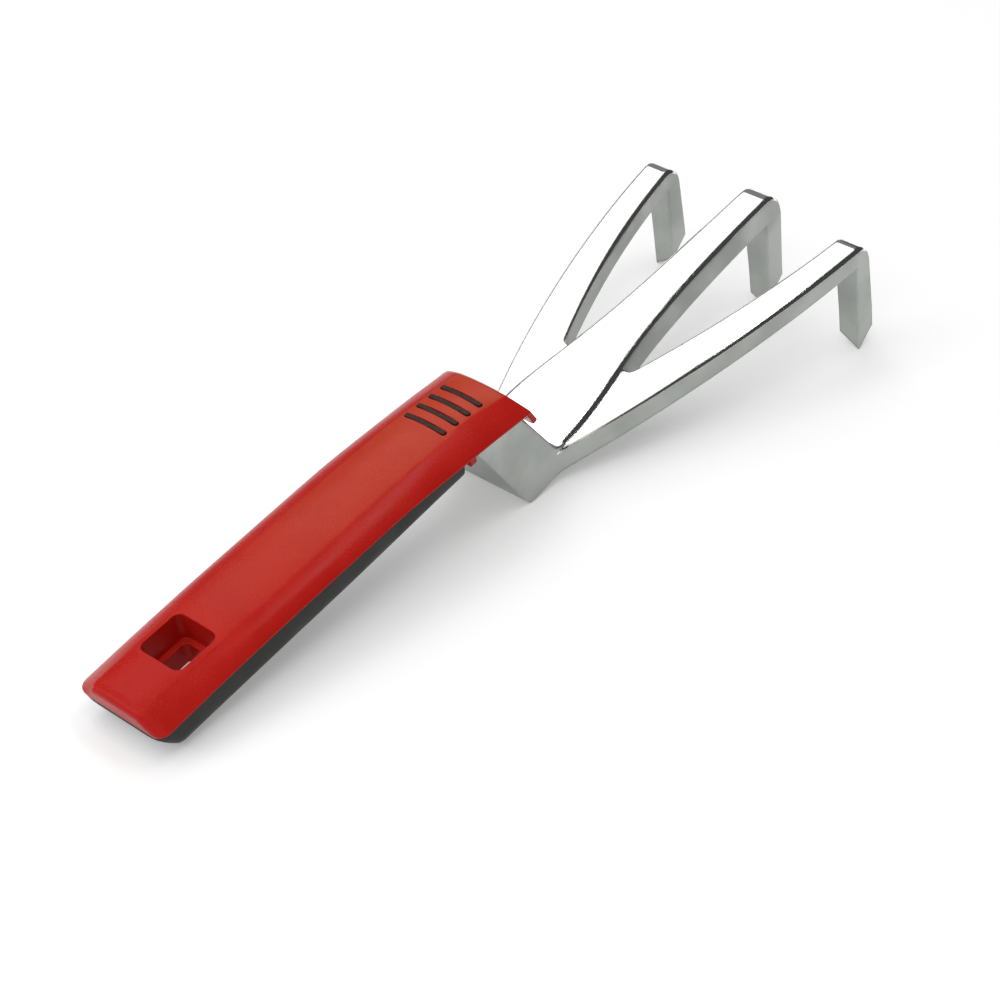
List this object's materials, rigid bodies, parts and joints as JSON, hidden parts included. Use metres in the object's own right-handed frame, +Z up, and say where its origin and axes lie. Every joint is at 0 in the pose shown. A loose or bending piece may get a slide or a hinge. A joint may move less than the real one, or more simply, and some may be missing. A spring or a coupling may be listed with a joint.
{
  "type": "garden_cultivator",
  "caption": "Hand cultivator: a polished cast head with chisel-pointed tines in a flat moulded handle with a square hang hole and a ribbed thumb grip.",
  "frame": {"origin": "on the ground, at the middle of the tool's footprint", "axes": "+X runs from the handle to the tines, +Y to the tool's left, +Z up; the tool rests on the handle's heel and the tine points"},
  "size_m": [0.3088, 0.0876, 0.0466],
  "materials": {
    "cast_aluminium": "polished on top, as cast on the neck and the sides",
    "red_plastic": "satin moulded",
    "dark_plastic": "satin moulded",
    "rib_rubber": "moulded rubber",
    "screw_steel": "zinc plated"
  },
  "bodies": {
    "root": {"tine_head": "cast_aluminium", "upper_cover": "red_plastic", "lower_shell": "dark_plastic", "thumb_grip": "rib_rubber", "tang_screw_rear": "screw_steel", "tang_screw_front": "screw_steel", "shell_screw_left": "screw_steel", "shell_screw_right": "screw_steel"}
  },
  "joints": []
}
